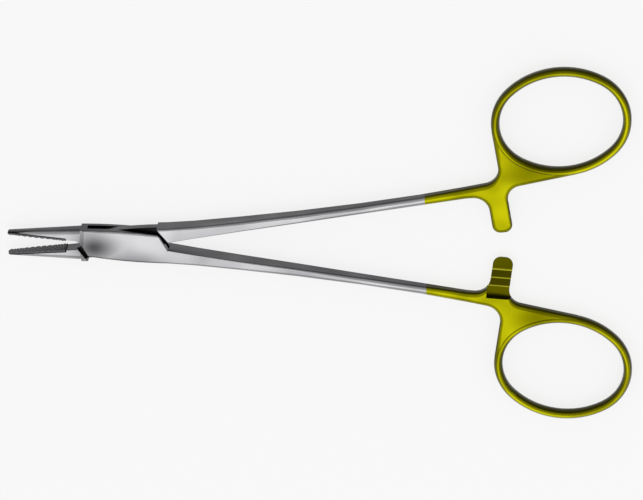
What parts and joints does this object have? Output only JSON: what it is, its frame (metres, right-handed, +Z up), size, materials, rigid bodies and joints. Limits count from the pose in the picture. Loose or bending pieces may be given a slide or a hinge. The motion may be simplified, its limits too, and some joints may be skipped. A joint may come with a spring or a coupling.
{
  "type": "surgical needle holder",
  "caption": "Slim box lock needle holder with fine straight jaws, hard inserts, a finger ring ratchet and gold finger rings, standing slightly open.",
  "frame": {"origin": "on the pivot axis, in the flat lower face of the box lock that the instrument rests on", "axes": "+X along the instrument from the pivot to the finger rings, +Y across it in the plane the halves open in, +Z up along the pivot axis"},
  "size_m": [0.1494, 0.0914, 0.0049],
  "materials": {
    "satin_steel": "satin stainless steel, the rings and ratchets plated in gold",
    "pin_steel": "satin, ground flush",
    "hard_insert": "dull grey sintered carbide"
  },
  "bodies": {
    "box_side": {"box_half": "satin_steel", "pivot_pin": "pin_steel", "upper_jaw_insert": "hard_insert"},
    "male_side": {"male_half": "satin_steel", "lower_jaw_insert": "hard_insert"}
  },
  "joints": [
    {"name": "box_lock_pivot", "type": "hinge", "parent": "box_side", "child": "male_side", "pos_m": [0, 0, 0.00245], "axis": [0, 0, 1], "range_deg": [-9.8, 50]}
  ]
}
